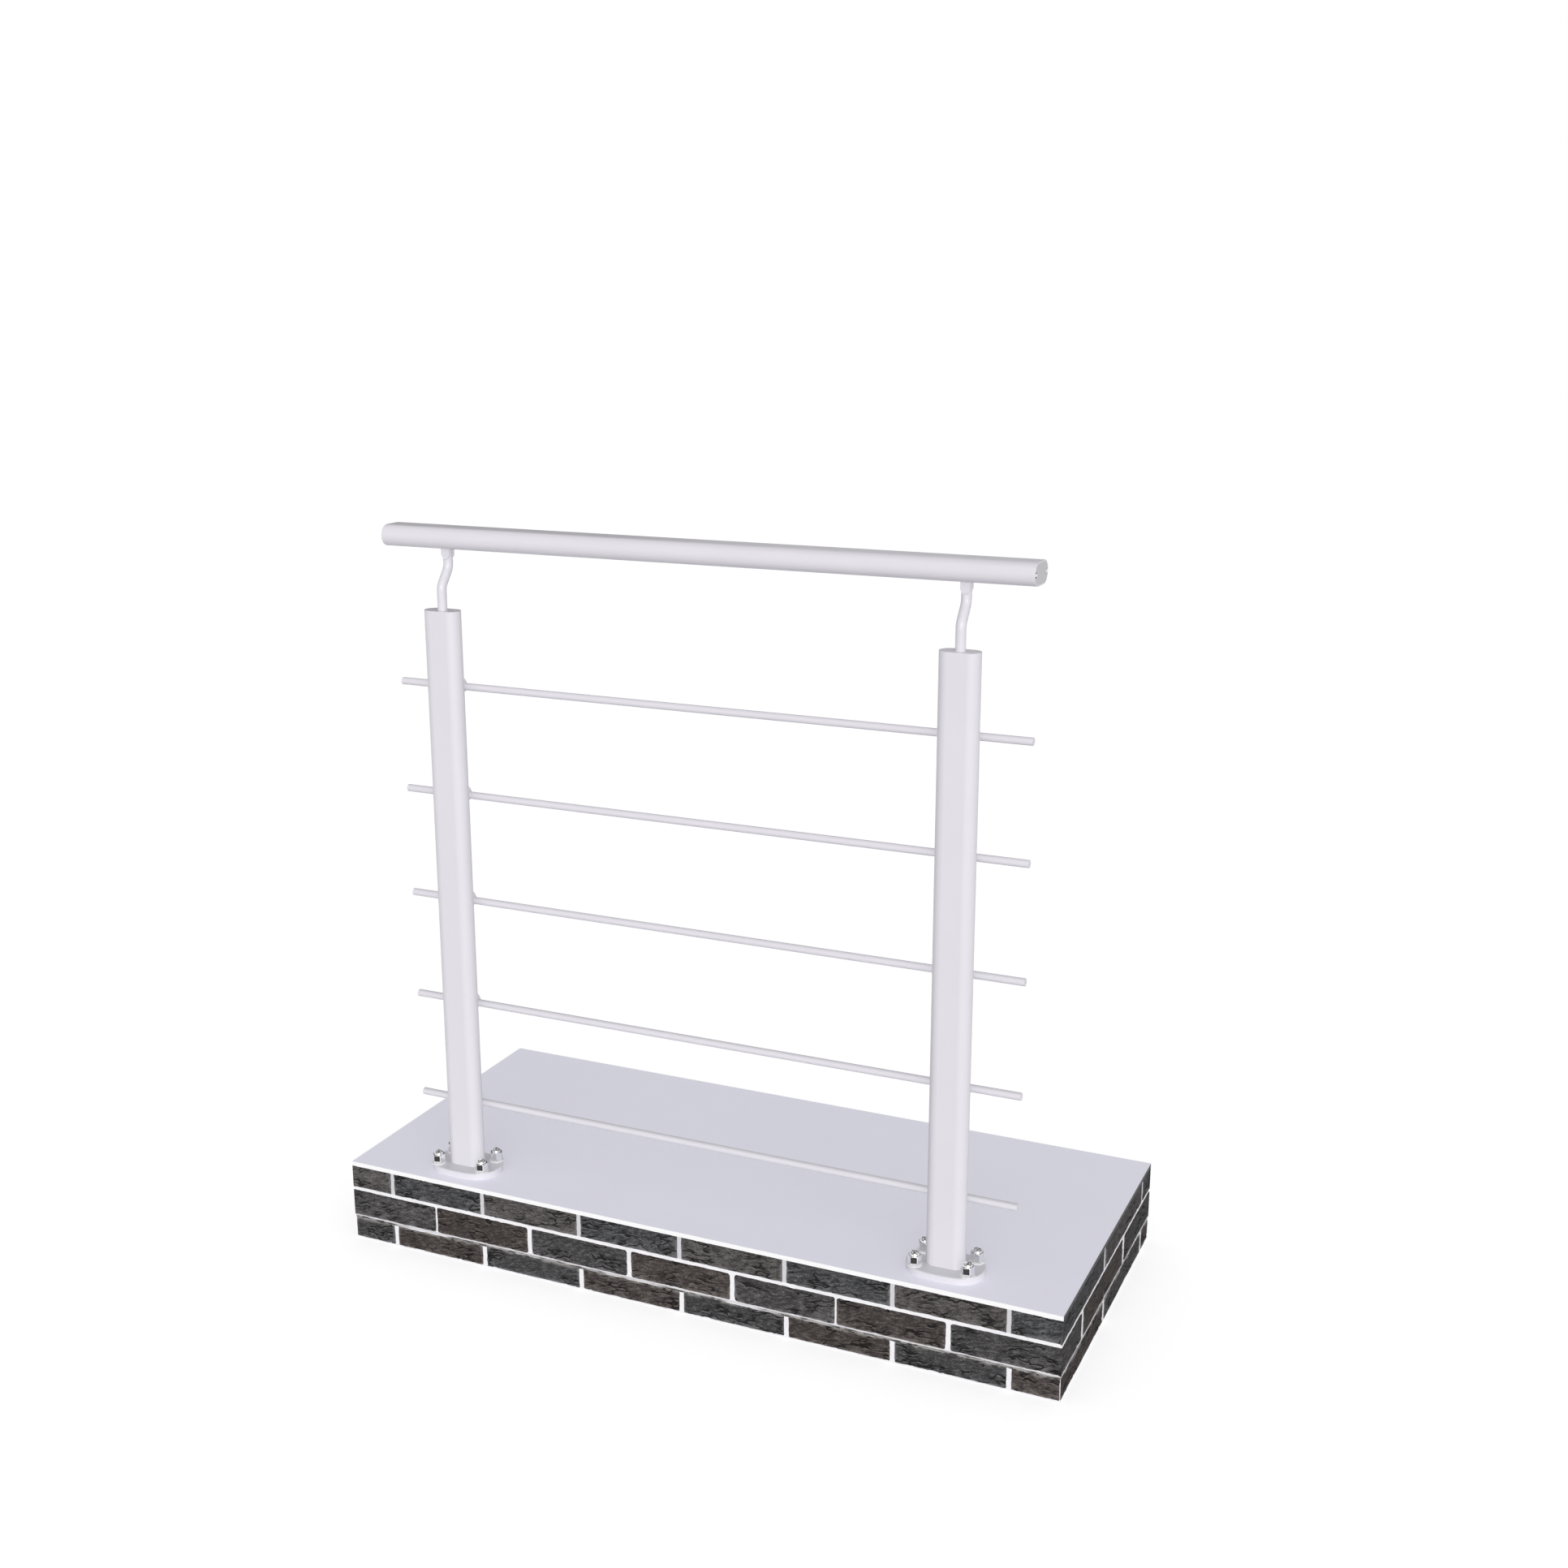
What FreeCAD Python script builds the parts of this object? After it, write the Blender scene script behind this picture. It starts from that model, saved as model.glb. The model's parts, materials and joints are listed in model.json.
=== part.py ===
import FreeCAD, Part
import math
import os

from FreeCAD import Vector

# A short length of deck railing on its own brick-clad plinth.
# Millimetres, +Z up. The origin is at the middle of the plinth's underside.
# X runs along the rail and the deck lies behind the posts, at +Y.

# Plinth
plinth_length = 1150.0
plinth_depth = 500.0
plinth_height = 130.0
coat_thickness = 7.0
facing_thickness = 15.0

# Line of the railing: posts from the plinth's ends and from its front face
left_post_margin = 178.7
right_post_margin = 185.7
post_setback = 56.0

# Posts, flat oval tube
post_width = 57.0
post_depth = 30.0
post_wall = 2.0
post_height = 877.7
post_cap_plate = 3.0
socket_depth = 32.0
socket_wall = 3.0

# Base flanges, oval plates with four anchor holes
flange_width = 114.0
flange_depth = 76.0
flange_front_radius = 165.0
flange_thickness = 10.0
flange_edge_bevel = 1.2
anchor_spacing_x = 77.5
anchor_spacing_y = 42.5
anchor_hole_diameter = 10.5

# Cranked stems between the posts and the handrail
stem_diameter = 14.0
stem_rise_to_lower_bend = 33.8
stem_rise_between_bends = 25.5
stem_rise_to_handrail = 27.8
stem_offset = 19.4
stem_bend_radius = 18.0
stem_tongue_thickness = 9.0
stem_tongue_below_fork = 1.0

# Forks that hold the stems' tongues under the handrail
fork_width = 14.0
fork_leg_length = 15.0
fork_plate = 2.0

# Handrail, flat oval tube lying flat
handrail_overhang = 96.8
handrail_width = 57.0
handrail_height = 31.0
handrail_wall = 2.0
handrail_behind_stems = 4.6
end_cap_plate = 3.0
end_cap_skirt = 12.0
end_cap_skirt_wall = 1.5
end_notch_length = 7.0
end_notch_height = 7.5
end_clip_height = 3.4
end_clip_recess = 0.4

# Infill rods and their holders
rod_count = 5
rod_diameter = 11.0
rod_overhang = 93.3
lowest_rod_height = 101.5
rod_pitch = 164.9
rod_standoff = 12.0
holder_diameter = 26.0
holder_behind_rod = 9.0

# Clearances
stem_bore_clearance = 0.05
rod_bore_clearance = 0.05
fork_clearance = 0.2
cap_clearance = 0.1

# Places that follow from the sizes above
deck_level = plinth_height
post_places = {"left": left_post_margin - plinth_length / 2, "right": plinth_length / 2 - right_post_margin}
sides = list(post_places)
post_line = post_setback - plinth_depth / 2
stem_head_line = post_line + stem_offset
handrail_line = stem_head_line + handrail_behind_stems
rod_line = post_line + post_depth / 2 + rod_standoff
post_foot = deck_level + flange_thickness
post_top = deck_level + post_height
lower_bend = post_top + stem_rise_to_lower_bend
upper_bend = lower_bend + stem_rise_between_bends
handrail_bottom = upper_bend + stem_rise_to_handrail
handrail_middle = handrail_bottom + handrail_height / 2


def flat_oval_face(width, height):
    """Flat oval outline in the XY plane: two straight sides and two half round ends."""
    radius = height / 2
    straight = width / 2 - radius
    top = Part.LineSegment(Vector(-straight, radius, 0), Vector(straight, radius, 0))
    right = Part.Arc(Vector(straight, radius, 0), Vector(straight + radius, 0, 0), Vector(straight, -radius, 0))
    bottom = Part.LineSegment(Vector(straight, -radius, 0), Vector(-straight, -radius, 0))
    left = Part.Arc(Vector(-straight, -radius, 0), Vector(-straight - radius, 0, 0), Vector(-straight, radius, 0))
    return Part.Face(Part.Wire([edge.toShape() for edge in (top, right, bottom, left)]))


def flat_oval_bar(width, height, length):
    """Solid flat oval bar standing on the XY plane."""
    return flat_oval_face(width, height).extrude(Vector(0, 0, length))


def flat_oval_tube(width, height, wall, length):
    """Open flat oval tube standing on the XY plane."""
    outer = flat_oval_bar(width, height, length)
    inner = flat_oval_bar(width - 2 * wall, height - 2 * wall, length)
    return outer.cut(inner)


def upright_cylinder(diameter, length, x, y, z):
    """Cylinder along Z from a point on its lower end."""
    return Part.makeCylinder(diameter / 2, length, Vector(x, y, z), Vector(0, 0, 1))


def anchor_places():
    """The eight points where anchors go through the flanges into the plinth."""
    return [
        (post_x + across * anchor_spacing_x / 2, post_line + along * anchor_spacing_y / 2)
        for post_x in post_places.values()
        for across in (-1, 1)
        for along in (-1, 1)
    ]


def plinth_core():
    """Solid core behind the facings."""
    length = plinth_length - 2 * facing_thickness
    depth = plinth_depth - 2 * facing_thickness
    return Part.makeBox(length, depth, deck_level - coat_thickness, Vector(-length / 2, -depth / 2, 0))


def deck_coat():
    """Smooth top coat of the deck, out to the faces of the plinth, cut out for the anchors."""
    corner = Vector(-plinth_length / 2, -plinth_depth / 2, deck_level - coat_thickness)
    coat = Part.makeBox(plinth_length, plinth_depth, coat_thickness, corner)
    holes = [upright_cylinder(anchor_hole_diameter, coat_thickness, x, y, corner.z) for x, y in anchor_places()]
    return coat.cut(holes)


def facing(face_length, face_distance, turn):
    """Facing panel with mitred ends, made in front of the origin and turned to its side."""
    outer = face_length / 2
    inner = outer - facing_thickness
    front = -face_distance
    back = front + facing_thickness
    corners = [Vector(-outer, front, 0), Vector(outer, front, 0), Vector(inner, back, 0), Vector(-inner, back, 0)]
    panel = Part.Face(Part.makePolygon(corners + corners[:1])).extrude(Vector(0, 0, deck_level - coat_thickness))
    panel.rotate(Vector(0, 0, 0), Vector(0, 0, 1), turn)
    return panel


def oval_face(width, depth, front_radius):
    """Oval outline of four arcs that meet without a kink, the long ones in front and behind."""
    across = width / 2
    along = depth / 2
    drop = front_radius - along
    end_radius = (front_radius ** 2 - across ** 2 - drop ** 2) / (2 * (front_radius - across))
    end_centre = across - end_radius
    reach = front_radius / math.hypot(end_centre, drop)
    joint_x = end_centre * reach
    joint_y = drop * reach - drop
    arcs = [
        Part.Arc(Vector(-joint_x, joint_y, 0), Vector(0, along, 0), Vector(joint_x, joint_y, 0)),
        Part.Arc(Vector(joint_x, joint_y, 0), Vector(across, 0, 0), Vector(joint_x, -joint_y, 0)),
        Part.Arc(Vector(joint_x, -joint_y, 0), Vector(0, -along, 0), Vector(-joint_x, -joint_y, 0)),
        Part.Arc(Vector(-joint_x, -joint_y, 0), Vector(-across, 0, 0), Vector(-joint_x, joint_y, 0)),
    ]
    return Part.Face(Part.Wire([arc.toShape() for arc in arcs]))


def base_flange(side):
    """Oval base plate with a bevelled top edge and four anchor holes."""
    plate = oval_face(flange_width, flange_depth, flange_front_radius).extrude(Vector(0, 0, flange_thickness))
    plate.translate(Vector(post_places[side], post_line, deck_level))
    rim = [edge for edge in plate.Edges if edge.BoundBox.ZMin > post_foot - 1e-6]
    plate = plate.makeChamfer(flange_edge_bevel, rim)
    holes = [
        upright_cylinder(anchor_hole_diameter, flange_thickness, x, y, deck_level)
        for x, y in anchor_places()
    ]
    return plate.cut(holes)


def post(side):
    """Flat oval post tube, standing on its flange and closed by the cap."""
    length = post_top - post_cap_plate - post_foot
    tube = flat_oval_tube(post_width, post_depth, post_wall, length)
    tube.translate(Vector(post_places[side], post_line, post_foot))
    return tube


def post_cap(side):
    """Flat cap on the tube, with a socket inside that holds the foot of the stem."""
    plate = flat_oval_bar(post_width, post_depth, post_cap_plate)
    plate.translate(Vector(0, 0, post_top - post_cap_plate))
    bore = stem_diameter + 2 * stem_bore_clearance
    socket_bottom = post_top - socket_depth
    socket = upright_cylinder(bore + 2 * socket_wall, socket_depth, 0, 0, socket_bottom)
    cap = plate.fuse(socket).removeSplitter()
    cap = cap.cut(upright_cylinder(bore, socket_depth - socket_wall, 0, 0, socket_bottom + socket_wall))
    cap.translate(Vector(post_places[side], post_line, 0))
    return cap


def rounded_corner(before, corner, after, radius):
    """Tangent arc that rounds one corner of a path, as its start, middle and end."""
    inward = (before - corner).normalize()
    outward = (after - corner).normalize()
    half_angle = inward.getAngle(outward) / 2
    reach = radius / math.tan(half_angle)
    bisector = (inward + outward).normalize()
    middle = corner + bisector * (radius / math.sin(half_angle) - radius)
    return corner + inward * reach, middle, corner + outward * reach


def stem(side):
    """Round bar with two bends, its head milled to a tongue that fits the fork."""
    x = post_places[side]
    foot = Vector(x, post_line, post_top - socket_depth + socket_wall)
    lower = Vector(x, post_line, lower_bend)
    upper = Vector(x, stem_head_line, upper_bend)
    head = Vector(x, stem_head_line, handrail_bottom - fork_plate)
    lower_arc = rounded_corner(foot, lower, upper, stem_bend_radius)
    upper_arc = rounded_corner(lower, upper, head, stem_bend_radius)
    path = Part.Wire([
        Part.LineSegment(foot, lower_arc[0]).toShape(),
        Part.Arc(*lower_arc).toShape(),
        Part.LineSegment(lower_arc[2], upper_arc[0]).toShape(),
        Part.Arc(*upper_arc).toShape(),
        Part.LineSegment(upper_arc[2], head).toShape(),
    ])
    section = Part.Face(Part.Wire([Part.makeCircle(stem_diameter / 2, foot, Vector(0, 0, 1))]))
    bar = path.makePipe(section)
    tongue_height = fork_leg_length + stem_tongue_below_fork
    cheek = (stem_diameter - stem_tongue_thickness) / 2
    for edge_y in (stem_head_line - stem_diameter / 2, stem_head_line + stem_tongue_thickness / 2):
        milled = Part.makeBox(
            stem_diameter, cheek, tongue_height,
            Vector(x - stem_diameter / 2, edge_y, handrail_bottom - tongue_height),
        )
        bar = bar.cut(milled)
    return bar


def handrail_fork(side):
    """Clevis under the handrail: a flat web and two legs with half round ends."""
    x = post_places[side]
    gap = stem_tongue_thickness + 2 * fork_clearance
    depth = gap + 2 * fork_plate
    radius = fork_width / 2
    top = handrail_bottom
    round_centre = top - fork_leg_length + radius
    outline = [
        Part.LineSegment(Vector(-radius, 0, round_centre), Vector(-radius, 0, top)),
        Part.LineSegment(Vector(-radius, 0, top), Vector(radius, 0, top)),
        Part.LineSegment(Vector(radius, 0, top), Vector(radius, 0, round_centre)),
        Part.Arc(
            Vector(radius, 0, round_centre), Vector(0, 0, top - fork_leg_length), Vector(-radius, 0, round_centre)
        ),
    ]
    block = Part.Face(Part.Wire([edge.toShape() for edge in outline])).extrude(Vector(0, depth, 0))
    block.translate(Vector(x, stem_head_line - depth / 2, 0))
    slot = Part.makeBox(
        fork_width, gap, fork_leg_length - fork_plate,
        Vector(x - radius, stem_head_line - gap / 2, top - fork_leg_length),
    )
    return block.cut(slot)


def along_rail(shape, start_x, centre_y, centre_z):
    """Lay a shape that stands on the XY plane along +X, its X axis turned to +Y."""
    shape.rotate(Vector(0, 0, 0), Vector(1, 1, 1), 120)
    shape.translate(Vector(start_x, centre_y, centre_z))
    return shape


def handrail_ends():
    """Where the handrail starts and stops along X."""
    return post_places["left"] - handrail_overhang, post_places["right"] + handrail_overhang


def handrail_tube():
    """Flat oval handrail tube, lying flat on its two forks."""
    start, stop = handrail_ends()
    tube = flat_oval_tube(handrail_width, handrail_height, handrail_wall, stop - start)
    return along_rail(tube, start, handrail_line, handrail_middle)


def handrail_end_cap(side):
    """Cap set flush in the tube's end, with a clip between two slots at each round end."""
    fit = handrail_wall + cap_clearance
    width = handrail_width - 2 * fit
    height = handrail_height - 2 * fit
    skirt = flat_oval_tube(width, height, end_cap_skirt_wall, end_cap_skirt)
    cap = flat_oval_bar(width, height, end_cap_plate).fuse(skirt).removeSplitter()
    inner = width / 2 - end_notch_length
    outer = width / 2 + cap_clearance
    for start_x in (-outer, inner):
        notch = Part.makeBox(
            outer - inner, end_notch_height, end_cap_plate, Vector(start_x, -end_notch_height / 2, 0)
        )
        clip = Part.makeBox(
            outer - inner, end_clip_height, end_cap_plate - end_clip_recess,
            Vector(start_x, -end_clip_height / 2, end_clip_recess),
        )
        cap = cap.cut(notch.cut(clip))
    if side == "right":
        cap.rotate(Vector(0, 0, 0), Vector(1, 0, 0), 180)
    start, stop = handrail_ends()
    return along_rail(cap, start if side == "left" else stop, handrail_line, handrail_middle)


def rod_height(number):
    """Height of one rod's centre, counted from the lowest rod up."""
    return deck_level + lowest_rod_height + (number - 1) * rod_pitch


def infill_rod(number):
    """Round rod that runs past both posts."""
    start = post_places["left"] - rod_overhang
    length = post_places["right"] + rod_overhang - start
    return Part.makeCylinder(rod_diameter / 2, length, Vector(start, rod_line, rod_height(number)), Vector(1, 0, 0))


def rod_holder(side, number):
    """Round holder on the back of a post, bored across for the rod."""
    back_of_post = post_line + post_depth / 2
    centre = Vector(post_places[side], back_of_post, rod_height(number))
    body = Part.makeCylinder(holder_diameter / 2, rod_standoff + holder_behind_rod, centre, Vector(0, 1, 0))
    bore = Part.makeCylinder(
        rod_diameter / 2 + rod_bore_clearance, holder_diameter,
        Vector(centre.x - holder_diameter / 2, rod_line, centre.z), Vector(1, 0, 0),
    )
    return body.cut(bore)


def all_parts():
    """Every piece by its name."""
    parts = {
        "plinth_core": plinth_core(),
        "deck_coat": deck_coat(),
        "plinth_facing_front": facing(plinth_length, plinth_depth / 2, 0),
        "plinth_facing_right": facing(plinth_depth, plinth_length / 2, 90),
        "plinth_facing_back": facing(plinth_length, plinth_depth / 2, 180),
        "plinth_facing_left": facing(plinth_depth, plinth_length / 2, 270),
        "handrail_tube": handrail_tube(),
    }
    for side in sides:
        parts[f"base_flange_{side}"] = base_flange(side)
        parts[f"post_{side}"] = post(side)
        parts[f"post_cap_{side}"] = post_cap(side)
        parts[f"stem_{side}"] = stem(side)
        parts[f"handrail_fork_{side}"] = handrail_fork(side)
        parts[f"handrail_end_cap_{side}"] = handrail_end_cap(side)
    for number in range(1, rod_count + 1):
        parts[f"infill_rod_{number}"] = infill_rod(number)
        for side in sides:
            parts[f"rod_holder_{side}_{number}"] = rod_holder(side, number)
    return parts


os.makedirs("parts", exist_ok=True)
for name, shape in all_parts().items():
    shape.exportStep(f"parts/{name}.step")
    print(name, "solids", len(shape.Solids), "valid", shape.isValid(), "volume cm3", round(shape.Volume / 1000, 2))
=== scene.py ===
# %% [markdown]
# # A deck railing on a brick-clad plinth
#
# This notebook dresses a short length of deck railing: two flat oval posts bolted to a plinth, five round
# rods behind them, and an oval handrail that two cranked stems carry. The metal parts, the core of the plinth
# and the coat of the deck come ready from the construction frame, at their real size, and only need a finish.
# What is left to make here is what a mason and a fitter would add on site: the brick slips with their
# joints, and the washers and cap nuts.

# %% Load the frame
import json
import math
import random

import bmesh
import bpy
from mathutils import Matrix, Vector


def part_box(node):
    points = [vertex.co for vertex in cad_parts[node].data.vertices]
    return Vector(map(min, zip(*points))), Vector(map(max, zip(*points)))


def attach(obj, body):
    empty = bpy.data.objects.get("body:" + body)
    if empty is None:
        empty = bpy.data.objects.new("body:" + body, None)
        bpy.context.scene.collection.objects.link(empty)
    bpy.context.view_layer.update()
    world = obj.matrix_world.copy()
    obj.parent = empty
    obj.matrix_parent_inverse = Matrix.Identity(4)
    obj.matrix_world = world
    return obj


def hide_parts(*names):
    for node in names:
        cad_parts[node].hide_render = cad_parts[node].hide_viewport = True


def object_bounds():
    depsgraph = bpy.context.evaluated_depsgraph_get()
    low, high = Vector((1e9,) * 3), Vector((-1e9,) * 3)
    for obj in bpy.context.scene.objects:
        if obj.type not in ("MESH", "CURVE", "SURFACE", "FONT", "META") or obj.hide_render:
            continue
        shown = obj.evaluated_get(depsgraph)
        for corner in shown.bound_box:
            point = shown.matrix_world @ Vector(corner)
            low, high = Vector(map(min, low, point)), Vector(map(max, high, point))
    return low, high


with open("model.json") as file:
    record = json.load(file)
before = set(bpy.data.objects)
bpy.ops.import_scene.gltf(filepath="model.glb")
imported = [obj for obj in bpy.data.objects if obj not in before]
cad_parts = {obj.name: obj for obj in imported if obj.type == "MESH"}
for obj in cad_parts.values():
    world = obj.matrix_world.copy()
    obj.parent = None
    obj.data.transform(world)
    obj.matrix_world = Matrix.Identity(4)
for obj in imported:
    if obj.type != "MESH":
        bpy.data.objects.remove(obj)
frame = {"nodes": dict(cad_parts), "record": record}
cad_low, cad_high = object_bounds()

mm = 0.001
print("pieces in the frame:", len(frame["nodes"]))

# %% [markdown]
# ## Sizes taken from the frame
#
# Everything that is added has to sit on something that is already there. So the levels and the places are
# read from the boxes of the frame's pieces, and only what the frame doesn't hold, such as the height of a
# brick course, is a number of its own.

# %% Levels and places
deck_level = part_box("deck_coat")[1].z
coat_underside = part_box("deck_coat")[0].z
plinth_length = cad_high.x - cad_low.x
plinth_depth = cad_high.y - cad_low.y
flange_boxes = {side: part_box(f"base_flange_{side}") for side in ("left", "right")}
flange_centres = {side: (low + high) / 2 for side, (low, high) in flange_boxes.items()}
flange_top = flange_boxes["left"][1].z
print("deck at", round(deck_level, 4), "flanges' top at", round(flange_top, 4))

# %% Objects for the scene
def add_object(name, data):
    """An object with its data, put into the scene."""
    made = bpy.data.objects.new(name, data)
    bpy.context.scene.collection.objects.link(made)
    return made


def add_body(name, shape):
    """An object made from a finished bmesh."""
    mesh = bpy.data.meshes.new(name)
    shape.to_mesh(mesh)
    shape.free()
    return add_object(name, mesh)


# %% [markdown]
# ## Writing node trees as expressions
#
# A material is a small sum: a little noise times a strength, added to a colour. Built by hand, every plus and
# every times is a node with two links. The class below wraps one socket, and its operators add the Math node
# for it, so that `1 - mask` or `wave * 0.3` reads like the formula that it is. The same class serves shader
# trees and geometry trees, because both use the same Math node.

# %% A socket that knows arithmetic, and the bench that it lies on
class Value:
    """One output socket on a bench, usable in expressions."""

    def __init__(self, bench, socket):
        self.bench = bench
        self.socket = socket

    def math(self, operation, *others):
        return self.bench.node("ShaderNodeMath", {"operation": operation}, [self, *others])

    def __add__(self, other):
        return self.math("ADD", other)

    def __sub__(self, other):
        return self.math("SUBTRACT", other)

    def __rsub__(self, other):
        return self.bench.node("ShaderNodeMath", {"operation": "SUBTRACT"}, [other, self])

    def __mul__(self, other):
        return self.math("MULTIPLY", other)

    def __truediv__(self, other):
        return self.math("DIVIDE", other)

    def __pow__(self, other):
        return self.math("POWER", other)

    __radd__ = __add__
    __rmul__ = __mul__

    def least(self, other):
        return self.math("MINIMUM", other)

    def most(self, other):
        return self.math("MAXIMUM", other)

    def size(self):
        return self.math("ABSOLUTE")

    def above(self, limit):
        return self.math("GREATER_THAN", limit)

    def between(self, low, high):
        """Rises smoothly from 0 at low to 1 at high, and stays there."""
        sockets = {"Value": self, "From Min": low, "From Max": high}
        return self.bench.node("ShaderNodeMapRange", {"interpolation_type": "SMOOTHSTEP"}, sockets)


class Bench:
    """One node tree, with one method that adds any node to it."""

    def __init__(self, tree):
        self.tree = tree

    def node(self, kind, settings=None, inputs=None, output=0):
        made = self.tree.nodes.new(kind)
        for name, value in (settings or {}).items():
            setattr(made, name, value)
        pairs = inputs.items() if isinstance(inputs, dict) else enumerate(inputs or [])
        for key, value in pairs:
            if isinstance(key, str):
                socket = next(s for s in made.inputs if s.name == key and s.enabled)
            else:
                socket = made.inputs[key]
            self.feed(socket, value)
        if isinstance(output, str):
            return Value(self, next(s for s in made.outputs if s.name == output and s.enabled))
        return Value(self, made.outputs[output])

    def feed(self, socket, value):
        """A link where the value is another node's socket, and a plain value otherwise."""
        if isinstance(value, Value):
            self.tree.links.new(value.socket, socket)
        elif isinstance(value, (tuple, list)) and socket.type == "RGBA" and len(value) == 3:
            socket.default_value = (*value, 1.0)
        else:
            socket.default_value = value

    def mix(self, share, first, second):
        """Colour between two colours."""
        sockets = {"Factor": share, "A": first, "B": second}
        return self.node("ShaderNodeMix", {"data_type": "RGBA"}, sockets, "Result")

    def parts_of(self, vector):
        """The three numbers of a vector."""
        first = self.node("ShaderNodeSeparateXYZ", None, [vector])
        return [Value(self, first.socket.node.outputs[axis]) for axis in range(3)]

    def join(self, x, y, z):
        return self.node("ShaderNodeCombineXYZ", None, [x, y, z])

    def noise(self, place, scale, detail=2.0, roughness=0.5, output="Fac"):
        sockets = {"Vector": place, "Scale": scale, "Detail": detail, "Roughness": roughness}
        return self.node("ShaderNodeTexNoise", None, sockets, output)

    def facing(self):
        """The three parts of the direction that a surface looks in."""
        return self.parts_of(self.node("ShaderNodeNewGeometry", output="Normal"))

    def stored(self, name, output="Fac"):
        """What a mesh has stored under a name, for a shader."""
        return self.node("ShaderNodeAttribute", {"attribute_name": name}, output=output)


print("the bench is ready")

# %% A bench for one material
def new_material(name):
    """An empty material, its bench, its surface node and the Object coordinates."""
    material = bpy.data.materials.new(name)
    material.use_nodes = True
    bench = Bench(material.node_tree)
    place = bench.node("ShaderNodeTexCoord", output="Object")
    return material, bench, material.node_tree.nodes["Principled BSDF"], place


def set_sockets(bench, surface, values):
    for name, value in values.items():
        bench.feed(surface.inputs[name], value)


def bump(bench, height, strength, distance):
    """Normal of a surface whose height is given in parts of the distance."""
    return bench.node("ShaderNodeBump", None, {"Strength": strength, "Distance": distance, "Height": height})


print("bench for materials ready")

# %% [markdown]
# ## The camera
#
# A photograph of a box shape tells where its camera stood: the plinth's seven visible corners fix the place,
# the direction and the lens at once. The camera here stands there, a little above the handrail and to the
# right of the railing, and looks slightly down.

# %% Stand the camera where the photograph was taken
camera_place = (1.14805, -2.46917, 1.45763)
camera_yaw = math.radians(-23.849)
camera_pitch = math.radians(14.695)
camera_lens = 43.456
camera_sensor = 36.0


def stand_camera():
    data = bpy.data.cameras.new("camera")
    data.lens = camera_lens
    data.sensor_width = camera_sensor
    camera = add_object("camera", data)
    camera.location = camera_place
    camera.rotation_euler = (math.pi / 2 - camera_pitch, 0.0, -camera_yaw)
    bpy.context.scene.camera = camera
    return camera


camera = stand_camera()
print("camera at", [round(value, 3) for value in camera.location])

# %% [markdown]
# ## Light and floor
#
# White metal in front of white paper shows its form only through soft shading. So the lamps hang low in
# front and to the right, and the surroundings fill in the rest. One very large soft lamp casts the shadows.
# A smaller one in the same place casts none, which keeps the posts' shadows on the deck faint, and gives
# most of the light and the highlights. The surroundings light the object with less than they show: the
# camera gets plain white, by way of the Light Path node. Polished metal gets white too, but broken by what a
# studio has between its panels: dark upright gaps all round, a level one, a dark ceiling, and a dark room
# behind the railing. The floor is treated in the same way, so it is white to the eye and still takes a soft
# shadow from the plinth.

# %% Soft studio light
view_settings = bpy.context.scene.view_settings
view_settings.view_transform = "Standard"
fill_strength = 0.53
fill_tint = (1.0, 0.99, 1.0)
lamp_strength = 2.3
shadowless_share = 0.75
lamp_azimuth = math.radians(29)
lamp_elevation = math.radians(18)
soft_spread = math.radians(75)
keen_spread = math.radians(36)
gap_darkness = 0.94


def light_path(bench):
    """1 for what the camera sees straight or through glass, and 1 for what it sees reflected."""
    outputs = bench.node("ShaderNodeLightPath").socket.node.outputs
    straight = Value(bench, outputs["Is Camera Ray"]) + Value(bench, outputs["Is Transmission Ray"])
    return straight, Value(bench, outputs["Is Glossy Ray"])


def studio_panels(bench):
    """What shiny surfaces see of the studio: 1 on the white panels and 0 in the gaps and behind."""
    x, y, z = bench.parts_of(bench.node("ShaderNodeTexCoord", output="Generated"))
    around = y.math("ARCTAN2", x)
    upright_gap = 1.0 - (around * 4.0 + 0.7).math("SINE").size().between(0.50, 0.64)
    level_gap = 1.0 - (z - 0.58).size().between(0.08, 0.12)
    overhead = z.between(0.86, 0.90)
    behind = y.between(0.35, 0.7) * (1.0 - z.between(0.0, 0.2) * 0.5)
    dark = (upright_gap * z.between(0.05, 0.12)).most(level_gap).most(overhead).most(behind)
    return 1.0 - dark * gap_darkness


def make_surroundings():
    world = bpy.data.worlds.new("surroundings")
    bpy.context.scene.world = world
    world.use_nodes = True
    bench = Bench(world.node_tree)
    background = world.node_tree.nodes["Background"]
    straight, reflected = light_path(bench)
    seen = (straight + reflected).least(1.0)
    shown = straight + reflected * studio_panels(bench)
    bench.feed(background.inputs["Color"], bench.mix(seen, fill_tint, (1.0, 1.0, 1.0)))
    bench.feed(background.inputs["Strength"], shown.least(1.0) + (1.0 - seen) * fill_strength)


def hang_lamp(name, strength, spread, casts_shadow):
    data = bpy.data.lights.new(name, "SUN")
    data.energy = strength
    data.angle = spread
    data.use_shadow = casts_shadow
    level = math.cos(lamp_elevation)
    x, y = math.sin(lamp_azimuth) * level, -math.cos(lamp_azimuth) * level
    towards = Vector((x, y, math.sin(lamp_elevation)))
    add_object(name, data).rotation_euler = towards.to_track_quat("Z", "Y").to_euler()


make_surroundings()
hang_lamp("soft_lamp", lamp_strength * (1.0 - shadowless_share), soft_spread, True)
hang_lamp("shadowless_lamp", lamp_strength * shadowless_share, keen_spread, False)
print("lamps", lamp_strength, "fill", fill_strength)

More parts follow.
